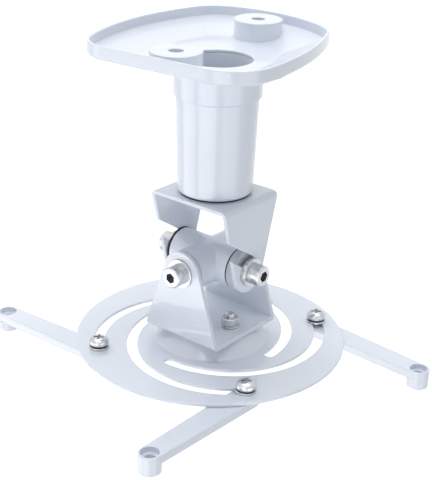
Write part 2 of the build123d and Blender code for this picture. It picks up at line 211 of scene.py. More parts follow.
@dataclass(frozen=True)
class Finish:
    """A surface with two clouded tones, a clouded roughness and a fine relief.

    Each noise is (cells per metre, octaves), the relief is (share that shows, metres), and
    sockets holds other numbers for the shader.
    """

    name: str
    slot: str
    light: Colour
    shade: Colour
    roughness: Pair
    tone_noise: Pair
    rough_noise: Pair
    relief_noise: Pair
    relief: Pair
    sockets: Sockets

    def material(self) -> bpy.types.Material:
        """Builds the finish's material.

        Returns:
            The material.
        """
        tree = NodeTree(self.name)
        tone = tree.blend(tree.noise(*self.tone_noise), self.light, self.shade)
        tree.links.new(tone, tree.shader.inputs["Base Color"])
        rough = tree.ramp(tree.noise(*self.rough_noise), *self.roughness)
        tree.links.new(rough, tree.shader.inputs["Roughness"])
        tree.bump(tree.noise(*self.relief_noise), *self.relief)
        for socket, value in self.sockets:
            tree.shader.inputs[socket].default_value = value
        return tree.material


@dataclass(frozen=True)
class PowderCoat(Finish):
    """Cool white semi-gloss powder coat with a fine orange peel."""

    name: str = "white_powder_coat"
    slot: str = "white_paint"
    light: Colour = linear(230, 235, 244)
    shade: Colour = linear(228, 233, 242)
    roughness: Pair = (0.305, 0.335)
    tone_noise: Pair = (22.0, 3.0)
    rough_noise: Pair = (55.0, 3.0)
    relief_noise: Pair = (700.0, 2.0)
    relief: Pair = (0.035, 0.0001)
    sockets: Sockets = (("Coat Weight", 0.8), ("Coat Roughness", 0.03))


@dataclass(frozen=True)
class ZincPlate(Finish):
    """Bright zinc plating with faint clouds and cloudy roughness."""

    name: str = "zinc_plate"
    slot: str = "zinc"
    light: Colour = linear(212, 213, 216)
    shade: Colour = linear(188, 190, 193)
    roughness: Pair = (0.22, 0.42)
    tone_noise: Pair = (260.0, 4.0)
    rough_noise: Pair = (420.0, 4.0)
    relief_noise: Pair = (2600.0, 2.0)
    relief: Pair = (0.12, 0.00006)
    sockets: Sockets = (("Metallic", 1.0),)


@dataclass(frozen=True)
class MouldedPolymer(Finish):
    """Matte moulded polymer with a fine grain, black or pale."""

    roughness: Pair = (0.42, 0.62)
    tone_noise: Pair = (300.0, 3.0)
    rough_noise: Pair = (700.0, 3.0)
    relief_noise: Pair = (3000.0, 2.0)
    relief: Pair = (0.2, 0.00005)
    sockets: Sockets = ()


class Workshop:
    """Makes finished pieces from bmeshes and ties them to the frame."""

    sharp_angle: float = 50.0

    def __init__(self) -> None:
        """Builds one material for each finish."""
        self.coat = PowderCoat()
        self.zinc = ZincPlate()
        # Darker zinc for the inside of the cap screws' sockets: painted shade in the recess.
        self.socket = ZincPlate(name="zinc_socket_painted_shade", light=linear(158, 160, 164),
                                shade=linear(132, 134, 138), roughness=(0.32, 0.52))
        self.black = MouldedPolymer("black_polymer", "black_plastic", linear(48, 50, 55),
                                    linear(30, 31, 35))
        self.pale = MouldedPolymer("pale_polymer", "pale_plastic", linear(205, 210, 218),
                                   linear(196, 202, 211))
        finishes = (self.coat, self.zinc, self.socket, self.black, self.pale)
        self.materials: Dict[str, bpy.types.Material] = {f.name: f.material() for f in finishes}

    def finish(self, node: str, form: Form, finish: Finish,
               recess: Optional[Finish] = None) -> None:
        """Turns a bmesh into the piece that stands for a CAD node.

        Args:
            node: The CAD node that the piece replaces. The piece is named after it.
            form: The shape, in metres in the row frame. It is freed here.
            finish: One of the finishes.
            recess: The finish of the faces with material index 1, if there are any: the painted
                shade inside the screw sockets and in the right bush's joint.
        """
        mesh = bpy.data.meshes.new(f"{node}_form")
        form.to_mesh(mesh)
        form.free()
        mesh.polygons.foreach_set("use_smooth", [True] * len(mesh.polygons))
        mesh.set_sharp_from_angle(angle=math.radians(self.sharp_angle))
        for coat in (finish, recess):
            if coat:
                mesh.materials.append(self.materials[coat.name])
        piece = bpy.data.objects.new(f"{node}_form", mesh)
        bpy.context.scene.collection.objects.link(piece)
        weighted = piece.modifiers.new("even_normals", "WEIGHTED_NORMAL")
        weighted.keep_sharp = True
        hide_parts(node)
        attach(piece, frame["nodes"][node]["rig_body"])
        LOG.info("%s: %d faces", piece.name, len(mesh.polygons))


def middle_of(node: str) -> Pair:
    """Finds where a CAD node's upright axis stands in plan, in metres."""
    low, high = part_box(node)
    return (low.x + high.x) / 2, (low.y + high.y) / 2


def axis_of(node: str) -> Vector:
    """Gives a CAD node's upright axis as a point in the ceiling plane, in metres."""
    return Vector((*middle_of(node), 0))


def heights(node: str) -> Pair:
    """Gives a CAD node's lowest and highest point in millimetres."""
    low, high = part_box(node)
    return low.z / MM, high.z / MM


def radius_of(node: str) -> float:
    """Gives half of a CAD node's width along X in millimetres."""
    low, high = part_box(node)
    return (high.x - low.x) / 2 / MM


def lies_at(part: Union[Edge, Face], height: float, slack: float = 0.001) -> bool:
    """Tells whether each point of an edge or face lies at a height in millimetres."""
    return all(abs(v.co.z / MM - height) < slack for v in part.verts)


def sharp_edges(form: Form, angle: float) -> List[Edge]:
    """Lists the edges where two faces meet at more than an angle in degrees."""
    limit = math.radians(angle)
    return [e for e in form.edges if len(e.link_faces) == 2 and e.calc_face_angle(0.0) > limit]


def round_edges(form: Form, edges: List[Edge], width: float, segments: int) -> None:
    """Rounds some of a form's edges to a width in millimetres."""
    bmesh.ops.bevel(form, geom=edges, offset=width * MM, offset_type="OFFSET", segments=segments,
                    profile=0.5, affect="EDGES", material=-1, clamp_overlap=False)


def soften(form: Form, width: float, segments: int = 2, angle: float = 30.0,
           hollow: bool = True) -> None:
    """Rounds the edges sharper than an angle in degrees, inner corners only where hollow."""
    edges = [e for e in sharp_edges(form, angle) if hollow or e.is_convex]
    round_edges(form, edges, width, segments)


def merged(form: Form, distance: float = 0.12, flatness: float = 0.6) -> Form:
    """Joins near points and flat faces, so that an edge rounding has room.

    Args:
        form: The shape to clean.
        distance: Points nearer than this many millimetres become one.
        flatness: Faces that meet at less than this many degrees are merged.

    Returns:
        The same bmesh.
    """
    bmesh.ops.remove_doubles(form, verts=form.verts, dist=distance * MM)
    bmesh.ops.dissolve_limit(form, angle_limit=math.radians(flatness), verts=form.verts,
                             edges=form.edges)
    return form


def frame_copy(node: str, flatness: float = 0.6) -> Form:
    """Copies a CAD node's mesh, joined up and with its flat faces merged.

    Args:
        node: The node's name.
        flatness: Faces that meet at less than this many degrees are merged.

    Returns:
        The copy as a bmesh.
    """
    form = bmesh.new()
    form.from_mesh(frame["nodes"][node].data)
    return merged(form, 0.01, flatness)


def turned(profile: Sequence[Pair], steps: int) -> Form:
    """Spins a closed outline around Z.

    Args:
        profile: Points (radius, height) in millimetres, in order around the outline.
        steps: Faces around the turn.

    Returns:
        The solid of revolution as a bmesh.
    """
    form = bmesh.new()
    verts = [form.verts.new((radius * MM, 0.0, height * MM)) for radius, height in profile]
    loop = [form.edges.new((verts[i - 1], verts[i])) for i in range(1, len(verts))]
    loop.append(form.edges.new((verts[-1], verts[0])))
    for edge in [e for e in loop if max(v.co.x for v in e.verts) < 1e-7]:
        form.edges.remove(edge)
    geometry = list(form.verts) + list(form.edges)
    bmesh.ops.spin(form, geom=geometry, cent=(0, 0, 0), axis=(0, 0, 1), angle=2 * math.pi,
                   steps=steps, use_merge=True)
    bmesh.ops.remove_doubles(form, verts=form.verts, dist=0.001 * MM)
    bmesh.ops.recalc_face_normals(form, faces=form.faces)
    return form


def washer(inner: float, outer: float, low: float, high: float, edge: float, steps: int) -> Form:
    """Turns a flat washer around Z, with sizes in millimetres.

    Args:
        inner: Radius of its hole.
        outer: Radius of its rim.
        low: Height of its lower face.
        high: Height of its upper face.
        edge: Width of its rounded edges.
        steps: Faces around the turn.

    Returns:
        The washer as a bmesh.
    """
    form = turned([(inner, low), (outer, low), (outer, high), (inner, high)], steps)
    soften(form, edge)
    return form


def lift(form: Form, faces: Sequence[Face], rise: float, keep: bool = False) -> None:
    """Extrudes faces along Z.

    Args:
        form: The shape to change.
        faces: Its faces to extrude.
        rise: How far they go, in millimetres.
        keep: Whether the first faces stay in place as well.
    """
    moved = bmesh.ops.extrude_face_region(form, geom=list(faces), use_keep_orig=keep)
    ends = [v for v in moved["geom"] if isinstance(v, bmesh.types.BMVert)]
    bmesh.ops.translate(form, verts=ends, vec=(0, 0, rise * MM))


def prism(radius: float, low: float, high: float, sides: int = 6) -> Form:
    """Makes a regular prism around Z, with sizes in millimetres.

    Args:
        radius: Distance of the corners from the axis.
        low: Height of the lower face.
        high: Height of the upper face.
        sides: Number of sides.

    Returns:
        The prism as a bmesh.
    """
    form = bmesh.new()
    bmesh.ops.create_circle(form, cap_ends=True, segments=sides, radius=radius * MM,
                            matrix=Matrix.Translation((0, 0, low * MM)))
    lift(form, form.faces, high - low)
    bmesh.ops.recalc_face_normals(form, faces=form.faces)
    return form


def joined(forms: Sequence[Form]) -> Form:
    """Puts several forms in one bmesh and frees them.

    Args:
        forms: The forms to join.

    Returns:
        One bmesh with all of them.
    """
    whole = bmesh.new()
    for form in forms:
        carrier = bpy.data.meshes.new("carrier")
        form.to_mesh(carrier)
        form.free()
        whole.from_mesh(carrier)
        bpy.data.meshes.remove(carrier)
    return whole


def aimed(form: Form, place: Place, direction: Direction = Direction.UP) -> Form:
    """Turns a form's own +Z to a direction and moves its origin to a place.

    Args:
        form: The shape, built around its own Z axis.
        place: The place of its origin, in metres.
        direction: The way that its +Z points afterwards.

    Returns:
        The same bmesh.
    """
    rotation = Vector((0, 0, 1)).rotation_difference(Vector(direction.value)).to_matrix().to_4x4()
    bmesh.ops.transform(form, matrix=Matrix.Translation(place) @ rotation, verts=form.verts)
    return form


def carved(form: Form, other: Form, cut: Cut = Cut.REMOVE) -> Form:
    """Cuts one closed form out of another, or keeps what they share.

    Args:
        form: The first shape. It is freed.
        other: The second shape. It is freed.
        cut: What the second shape does to the first.

    Returns:
        The result as a new bmesh.
    """
    objects = []
    for source in (form, other):
        mesh = bpy.data.meshes.new("carving")
        source.to_mesh(mesh)
        source.free()
        item = bpy.data.objects.new("carving", mesh)
        bpy.context.scene.collection.objects.link(item)
        objects.append(item)
    step = objects[0].modifiers.new("step", "BOOLEAN")
    step.operation = cut.value
    step.solver = "EXACT"
    step.object = objects[1]
    bpy.context.view_layer.update()
    result = bmesh.new()
    result.from_object(objects[0], bpy.context.evaluated_depsgraph_get())
    for item in objects:
        mesh = item.data
        bpy.data.objects.remove(item)
        bpy.data.meshes.remove(mesh)
    return result


def bored(form: Form, radius: float, low: float, high: float, sides: int,
          place: Place = (0, 0, 0)) -> Form:
    """Cuts an upright hole with its ends at two heights in millimetres and frees the form."""
    return carved(form, aimed(prism(radius, low, high, sides), place))


def arc(centre: Pair, radius: float, start: float, end: float, steps: int) -> List[Pair]:
    """Lists the points of an arc between two angles in degrees, with steps chords."""
    angles = [math.radians(start + (end - start) * i / steps) for i in range(steps + 1)]
    return [(centre[0] + radius * math.cos(a), centre[1] + radius * math.sin(a)) for a in angles]


def spoke(centre: Pair, radius: float, angle: float) -> Pair:
    """Gives the point at a distance and an angle in degrees from a centre."""
    return arc(centre, radius, angle, angle, 1)[0]


def rounded(corners: Sequence[Tuple[float, float, float]], steps: int) -> List[Pair]:
    """Rounds the corners of a closed outline.

    Args:
        corners: Points with the radius of each corner, 0 for a sharp one.
        steps: Chords in each rounding.

    Returns:
        The outline's points.
    """
    outline: List[Pair] = []
    for i, (x, y, radius) in enumerate(corners):
        if radius == 0:
            outline.append((x, y))
            continue
        here = Vector((x, y))
        back = (Vector(corners[i - 1][:2]) - here).normalized()
        ahead = (Vector(corners[(i + 1) % len(corners)][:2]) - here).normalized()
        half = back.angle(ahead) / 2
        centre = here + (back + ahead).normalized() * (radius / math.sin(half))
        first = here + back * (radius / math.tan(half)) - centre
        last = here + ahead * (radius / math.tan(half)) - centre
        start = math.degrees(math.atan2(first.y, first.x))
        sweep = math.degrees(math.atan2(last.y, last.x)) - start
        sweep = (sweep + 180) % 360 - 180
        outline += arc((centre.x, centre.y), radius, start, start + sweep, steps)
    return outline


def stadium(first: Pair, last: Pair, radius: float, last_radius: float, steps: int) -> List[Pair]:
    """Outlines the band around two circles, as a belt around two wheels.

    Args:
        first: Centre of the first circle.
        last: Centre of the last circle.
        radius: Radius of the first circle.
        last_radius: Radius of the last circle.
        steps: Chords around each end.

    Returns:
        The outline's points, turning left.
    """
    along = Vector(last) - Vector(first)
    heading = math.degrees(math.atan2(along.y, along.x))
    lean = 90.0 - math.degrees(math.asin((radius - last_radius) / along.length))
    return arc(last, last_radius, heading - lean, heading + lean, steps) + arc(
        first, radius, heading + lean, heading + 360 - lean, steps)


def slab(outline: Sequence[Pair], low: float, high: float, facing: Facing) -> Form:
    """Extrudes a flat outline, with sizes in millimetres.

    Args:
        outline: Points in the plane that faces the given way.
        low: Start of the slab along the facing direction.
        high: End of the slab.
        facing: The way that the outline's plane faces.

    Returns:
        The slab as a bmesh.
    """
    form = bmesh.new()
    face = form.faces.new([form.verts.new((x * MM, y * MM, low * MM)) for x, y in outline])
    lift(form, [face], high - low, keep=True)
    bmesh.ops.recalc_face_normals(form, faces=form.faces)
    turn = Matrix(facing.value).transposed().to_4x4()
    bmesh.ops.transform(form, matrix=turn, verts=form.verts)
    return form


def layered(levels: Sequence[Tuple[float, List[Pair]]]) -> Form:
    """Joins outlines with the same number of points, one above another, into an open wall.

    Args:
        levels: Heights with their outlines, from the bottom up, in millimetres.

    Returns:
        The form as a bmesh.
    """
    form = bmesh.new()
    rings = [[form.verts.new((x * MM, y * MM, height * MM)) for x, y in outline]
             for height, outline in levels]
    for lower, upper in zip(rings, rings[1:]):
        for i in range(len(lower)):
            j = (i + 1) % len(lower)
            form.faces.new((lower[i], lower[j], upper[j], upper[i]))
    return form


def lip(edge: float, chords: int = 3) -> List[Pair]:
    """Lists a quarter round at a hole's mouth as steps (sideways, inwards) from the surface."""
    steps = [math.radians(90 * i / chords) for i in range(chords + 1)]
    return [(edge * (1 - math.sin(t)), edge * (1 - math.cos(t))) for t in steps]


@dataclass
class CastForms:
    """The ceiling plate and the knuckle, softened from their CAD forms."""

    shop: Workshop
    plate_flatness: float = 0.05
    plate_edge: float = 0.6
    rim_edge: float = 1.6
    rim_height: float = -8.0
    knuckle_edge: float = 0.4
    barrel_end: float = 0.9

    def build(self) -> None:
        """Builds the plate and the knuckle."""
        self._plate()
        self._knuckle()

    def _plate(self) -> None:
        """Rounds the plate's rim widely and its other edges finely."""
        form = frame_copy("ceiling_plate", self.plate_flatness)
        rim = [e for e in sharp_edges(form, 40) if lies_at(e, self.rim_height, 0.05)]
        round_edges(form, rim, self.rim_edge, 4)
        soften(form, self.plate_edge, 3, 50)
        self.shop.finish("ceiling_plate", form, self.shop.coat)

    def _knuckle(self) -> None:
        """Moves the ends of the tilt barrel, each with its chamfer, and rounds the edges."""
        form = frame_copy("knuckle")
        low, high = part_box("knuckle")
        for direction, growth in BARREL_GROWTH.items():
            way = direction.value[0]
            end = high.x if way > 0 else low.x
            rim = [v for v in form.verts if abs(v.co.x - end) < self.barrel_end * MM]
            bmesh.ops.translate(form, verts=rim, vec=(way * growth * MM, 0, 0))
        soften(form, self.knuckle_edge, 4, 25)
        self.shop.finish("knuckle", form, self.shop.coat)


@dataclass
class FoldedBracket:
    """A strip of sheet folded into a U, with ears that taper to round ends."""

    shop: Workshop
    node: str
    web_above: bool
    inside_radius: float
    sheet: float = 2.6
    end_radius: float = 13.5
    straight: float = 1.0
    trim: float = 2.0
    edge: float = 0.4

    def __post_init__(self) -> None:
        """Takes the spans and heights from the CAD node's box."""
        low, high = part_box(self.node)
        centre = (low + high) / 2 / MM
        size = (high - low) / MM
        self.axis = (centre.x, centre.y)
        spans = (size.x / 2, size.y / 2)
        self.half_span, self.half_width = spans if self.web_above else spans[::-1]
        self.web = (high.z if self.web_above else low.z) / MM
        self.sign = 1 if self.web_above else -1
        end = (low.z if self.web_above else high.z) / MM
        self.pivot = end + self.sign * self.end_radius

    def blank(self) -> Form:
        """Folds the strip and trims its ears.

        Returns:
            The bracket around the pivot's axis, before its holes.
        """
        s, t, bend = self.half_span, self.sheet, self.inside_radius
        beyond = self.pivot - self.sign * (self.end_radius + self.trim)
        inner = self.web - self.sign * t
        fold = rounded([
            (-s, beyond, 0), (-s, self.web, bend + t), (s, self.web, bend + t), (s, beyond, 0),
            (s - t, beyond, 0), (s - t, inner, bend), (t - s, inner, bend), (t - s, beyond, 0)], 5)
        sides = (Facing.FRONT, Facing.RIGHT)
        across, along = sides if self.web_above else sides[::-1]
        strip = slab(fold, -self.half_width, self.half_width, across)
        return carved(strip, slab(self._taper(), -s - 1, s + 1, along), Cut.KEEP)

    def _taper(self) -> List[Pair]:
        """Outlines the ears as seen along the pivot.

        Returns:
            The outline's points.
        """
        shoulder = self.web - self.straight * self.sign
        rise = shoulder - self.pivot
        tangent = self.sign * math.acos(self.end_radius / math.hypot(self.half_width, rise))
        lean = math.degrees(math.atan2(rise, self.half_width) - tangent)
        past = self.web + self.trim * self.sign
        right = [(self.half_width, past), (self.half_width, shoulder)]
        end = arc((0, self.pivot), self.end_radius, lean, -self.sign * 180 - lean, 28)
        return right + end + [(-x, y) for x, y in reversed(right)]

    def finish(self, form: Form) -> None:
        """Rounds the edges, moves the bracket to its axis and hands it in."""
        merged(form)
        soften(form, self.edge, 3, 50)
        place = (self.axis[0] * MM, self.axis[1] * MM, 0)
        self.shop.finish(self.node, aimed(form, place), self.shop.coat)


@dataclass
class Brackets:
    """The upper bracket with its hooked slots and the lower bracket with its holes."""

    shop: Workshop
    slot_half_width: float = 4.45
    hook_drop: float = 5.9
    hook_angle: float = 33.0
    hook_reach: float = 32.0
    swivel_hole: float = 5.06
    bolt_hole: float = 3.3
    bolt_offset: float = 15.5
    past_ears: float = 35.0
    past_web: float = 1.0
    into_ears: float = 5.0

    def build(self) -> None:
        """Builds both brackets."""
        self._upper()
        self._lower()

    def _upper(self) -> None:
        """Builds the upper bracket."""
        upper = FoldedBracket(self.shop, "upper_bracket", True, 1.0)
        form = upper.blank()
        corner = (0.0, upper.pivot + self.hook_drop)
        mouth = spoke(corner, self.hook_reach, 180 - self.hook_angle)
        half, past = self.slot_half_width, self.past_ears
        for first, last in (((0.0, upper.pivot), corner), (corner, mouth)):
            slot = stadium(first, last, half, half, 16)
            form = carved(form, slab(slot, -past, past, Facing.RIGHT))
        low, high = upper.web - self.into_ears, upper.web + self.past_web
        form = bored(form, self.swivel_hole, low, high, 40)
        upper.finish(form)

    def _lower(self) -> None:
        """Builds the lower bracket."""
        lower = FoldedBracket(self.shop, "lower_bracket", False, 0.6)
        pivot = arc((0, lower.pivot), self.slot_half_width, 0, 345, 23)
        pin = slab(pivot, -self.past_ears, self.past_ears, Facing.FRONT)
        form = carved(lower.blank(), pin)
        for side in (-1, 1):
            low, high = lower.web - self.past_web, lower.web + self.into_ears
            place = (side * self.bolt_offset * MM, 0, 0)
            form = bored(form, self.bolt_hole, low, high, 32, place)
        lower.finish(form)


@dataclass
class AdapterDisc:
    """The turned disc with its pressed hub and four spiral slots."""

    shop: Workshop
    sheet: float = 2.0
    hub_foot: float = 36.0
    hub_crown: float = 26.0
    bend_inside: float = 2.0
    rim_round: float = 0.7
    slot_offset: float = 14.9
    slot_offset_angle: float = 350.0
    slot_radius: float = 58.9
    slot_from: float = 181.5
    slot_to: float = 320.4
    slot_half_width: float = 3.25
    lip: float = 0.4

    def build(self) -> None:
        """Spins the disc, cuts its slots and hands it in."""
        self.rim = radius_of("adapter_disc")
        self.under, self.hub_top = heights("adapter_disc")
        self.top = self.under + self.sheet
        form = joined([self._pressing()] + [self._slot(90.0 * quarter) for quarter in range(4)])
        for height in (self.under, self.top):
            mouths = [e for e in form.edges if e.is_boundary and lies_at(e, height)]
            bmesh.ops.triangle_fill(form, edges=mouths, use_beauty=True, normal=(0, 0, 1))
        bmesh.ops.recalc_face_normals(form, faces=form.faces)
        piece = aimed(form, axis_of("adapter_disc"))
        self.shop.finish("adapter_disc", piece, self.shop.coat)

    def _pressing(self) -> Form:
        """Spins the disc's section around its axis and leaves its two flat faces open.

        Returns:
            The disc without its flat faces.
        """
        slope = math.atan2(self.hub_top - self.top, self.hub_foot - self.hub_crown)
        shift = self.sheet * math.tan(slope / 2)
        inside, outside = self.bend_inside, self.bend_inside + self.sheet
        hub_under = self.hub_top - self.sheet
        section = rounded([
            (0, self.hub_top, 0), (self.hub_crown, self.hub_top, outside),
            (self.hub_foot, self.top, inside), (self.rim, self.top, self.rim_round),
            (self.rim, self.under, self.rim_round), (self.hub_foot - shift, self.under, outside),
            (self.hub_crown - shift, hub_under, inside), (0, hub_under, 0)], 6)
        form = turned(section, 160)
        flats = [f for f in form.faces if lies_at(f, self.under) or lies_at(f, self.top)]
        bmesh.ops.delete(form, geom=flats, context="FACES")
        return form

    def _slot(self, turn: float) -> Form:
        """Makes the wall of one slot, with rounded lips at both faces.

        Args:
            turn: Angle of the slot around the disc's axis in degrees.

        Returns:
            The wall as a bmesh.
        """
        steps = lip(self.lip)
        levels = [(self.under + inward, sideways) for sideways, inward in steps]
        levels += [(self.top - inward, sideways) for sideways, inward in reversed(steps)]
        half = self.slot_half_width
        return layered([(height, self._outline(half + more, turn)) for height, more in levels])

    def _outline(self, half_width: float, turn: float) -> List[Pair]:
        """Outlines one slot.

        Args:
            half_width: Half of its width in millimetres.
            turn: Angle of the slot around the disc's axis in degrees.

        Returns:
            The outline's points.
        """
        middle = spoke((0, 0), self.slot_offset, self.slot_offset_angle + turn)
        start, end = self.slot_from + turn, self.slot_to + turn
        ends = [spoke(middle, self.slot_radius, angle) for angle in (start, end)]
        return (
            arc(middle, self.slot_radius + half_width, start, end, 60)
            + arc(ends[1], half_width, end, end + 180, 12)[1:-1]
            + arc(middle, self.slot_radius - half_width, end, start, 60)
            + arc(ends[0], half_width, start + 180, start + 360, 12)[1:-1]
        )


@dataclass
class SwingArms:
    """The four cast arms, each a tapered bar with a stepped boss at its free end."""

    shop: Workshop
    length: float = 80.8
    seat_radius: float = 8.5
    seat_hole: float = 3.04
    tip_radius: float = 6.75
    thickness: float = 5.5
    boss_height: float = 12.0
    mouth_radius: float = 5.3
    mouth_lip: float = 0.5
    ledge_depth: float = 3.5
    ledge_edge: float = 0.3
    screw_hole: float = 3.2
    edge: float = 0.8
    directions: Tuple[float, float, float, float] = (268.5, 356.3, 89.0, 182.2)

    def build(self) -> None:
        """Builds the four arms."""
        for name, direction in zip(ARMS, self.directions):
            x, y = middle_of(f"arm_screw_{name}")
            seat = (x / MM, y / MM)
            self._arm(f"arm_{name}", seat, spoke(seat, self.length, direction))

    def _arm(self, node: str, seat: Pair, tip: Pair) -> None:
        """Builds one arm.

        Args:
            node: The arm's node.
            seat: Centre of its screw.
            tip: Centre of its boss.
        """
        top = heights(node)[1]
        form = self._bar(seat, tip, top)
        soften(form, self.edge, 3, 50, hollow=False)
        form = carved(form, aimed(self._stepped_hole(top), (tip[0] * MM, tip[1] * MM, 0)))
        place = (seat[0] * MM, seat[1] * MM, 0)
        form = bored(form, self.seat_hole, top - self.thickness - 1, top + 1, 32, place)
        self.shop.finish(node, form, self.shop.coat)

    def _bar(self, seat: Pair, tip: Pair, top: float) -> Form:
        """Extrudes the bar, then the boss from its underside.

        Args:
            seat: Centre of the screw's end.
            tip: Centre of the boss.
            top: Height of the upper face.

        Returns:
            The arm without its holes.
        """
        steps = 24
        outline = stadium(seat, tip, self.seat_radius, self.tip_radius, steps)
        first, last = (Vector(outline[i]) - Vector(tip) for i in (0, steps))
        start = math.degrees(math.atan2(last.y, last.x))
        sweep = (math.degrees(math.atan2(first.y, first.x)) - start) % 360
        inner = arc(tip, self.tip_radius, start, start + sweep, steps)[1:-1]
        form = bmesh.new()
        low = (top - self.thickness) * MM
        ring = [form.verts.new((x * MM, y * MM, low)) for x, y in outline]
        cross = [form.verts.new((x * MM, y * MM, low)) for x, y in inner]
        boss = form.faces.new(ring[: steps + 1] + cross)
        bar = form.faces.new([ring[0]] + list(reversed(cross)) + ring[steps:])
        lift(form, [boss, bar], self.thickness, keep=True)
        lift(form, [boss], self.thickness - self.boss_height)
        bmesh.ops.recalc_face_normals(form, faces=form.faces)
        return merged(form, 0.01)

    def _stepped_hole(self, top: float) -> Form:
        """Spins the cutter of the boss's stepped hole.

        Args:
            top: Height of the arm's upper face.

        Returns:
            The cutter around its own axis.
        """
        base, ledge, edge = top - self.boss_height, top - self.ledge_depth, self.ledge_edge
        wide, narrow, past = self.mouth_radius, self.screw_hole, 1.0
        mouth = [(wide + sideways, top - inward) for sideways, inward in lip(self.mouth_lip)]
        foot = [(narrow + sideways, base + inward) for sideways, inward in reversed(lip(edge))]
        section = [(0, top + past), (wide + self.mouth_lip, top + past)] + mouth
        section += [(wide, ledge + edge), (wide - edge, ledge), (narrow + edge, ledge),
                    (narrow, ledge - edge)]
        section += foot + [(narrow + edge, base - past), (0, base - past)]
        return turned(section, 48)


@dataclass
class Column:
    """The tapered swivel column with the pieces on its axis."""

    shop: Workshop
    top_radius: float = 24.6
    top_edge: float = 0.6
    bottom_radius: float = 23.0
    spigot_radius: float = 22.4
    mouth_radius: float = 20.0
    mouth_depth: float = 8.0
    plate_gap: float = 0.28
    wall: float = 3.2
    floor: float = 5.0
    foot_round: float = 2.0
    foot_edge: float = 0.6
    bore: float = 5.3
    rim_inset: float = 0.9
    shank_radius: float = 5.0
    tip_chamfer: float = 0.8
    head_height: float = 6.4
    head_corners: float = 9.8
    nut_corners: float = 9.2
    nut_bore: float = 5.04

    def build(self) -> None:
        """Builds the column, its washer, the swivel bolt, washer and nut."""
        self.axis = axis_of("column")
        self._column()
        self._washer("swivel_friction_washer", self.shop.black, 0.15, self.rim_inset)
        self._washer("swivel_washer", self.shop.zinc, 0.3)
        self._bolt()
        self._nut()

    def _column(self) -> None:
        """Builds the column, with its spigot up to the plate's collar."""
        bottom, top = heights("column")
        collar, mouth = heights("ceiling_plate")[0], top + self.plate_gap
        inner, foot = self.bottom_radius - self.wall, bottom + self.floor
        form = turned([
            (self.spigot_radius - self.wall, top - self.mouth_depth),
            (self.mouth_radius, mouth), (self.spigot_radius, mouth), (self.spigot_radius, collar),
            (self.top_radius - self.top_edge, collar), (self.top_radius, collar - self.top_edge),
            (self.bottom_radius + 0.05, bottom + self.foot_round),
            (self.bottom_radius - self.foot_edge, bottom + self.foot_edge),
            (self.bottom_radius - self.foot_round, bottom),
            (self.bore, bottom), (self.bore, foot), (inner, foot)], 96)
        soften(form, 0.4)
        self.shop.finish("column", aimed(form, self.axis), self.shop.coat)

    def _washer(self, node: str, finish: Finish, edge: float, inset: float = 0.0) -> None:
        """Builds a flat washer from its node's box.

        Args:
            node: The washer's node.
            finish: The washer's finish.
            edge: Width of the rounded edges in millimetres.
            inset: How far the rim stays inside the node's in millimetres.
        """
        low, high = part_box(node)
        half = (high.z - low.z) / 2 / MM
        form = washer(self.bore, radius_of(node) - inset, -half, half, edge, 72)
        self.shop.finish(node, aimed(form, (low + high) / 2), finish)

    def _bolt(self) -> None:
        """Builds the swivel bolt on the column's axis."""
        bottom, top = heights("swivel_bolt")
        r, seat, chamfer = self.shank_radius, top - self.head_height, self.tip_chamfer
        head = prism(self.head_corners, seat, top)
        soften(head, 0.5)
        shank = turned([
            (0, bottom), (r - chamfer, bottom), (r, bottom + chamfer), (r, seat), (0, seat)], 40)
        self.shop.finish("swivel_bolt", aimed(joined([head, shank]), self.axis), self.shop.zinc)

    def _nut(self) -> None:
        """Builds the lock nut under the bracket."""
        low, high = heights("swivel_nut")
        nut = prism(self.nut_corners, low, high)
        soften(nut, 0.6)
        nut = bored(nut, self.nut_bore, low - 1, high + 1, 40)
        self.shop.finish("swivel_nut", aimed(nut, self.axis), self.shop.zinc)


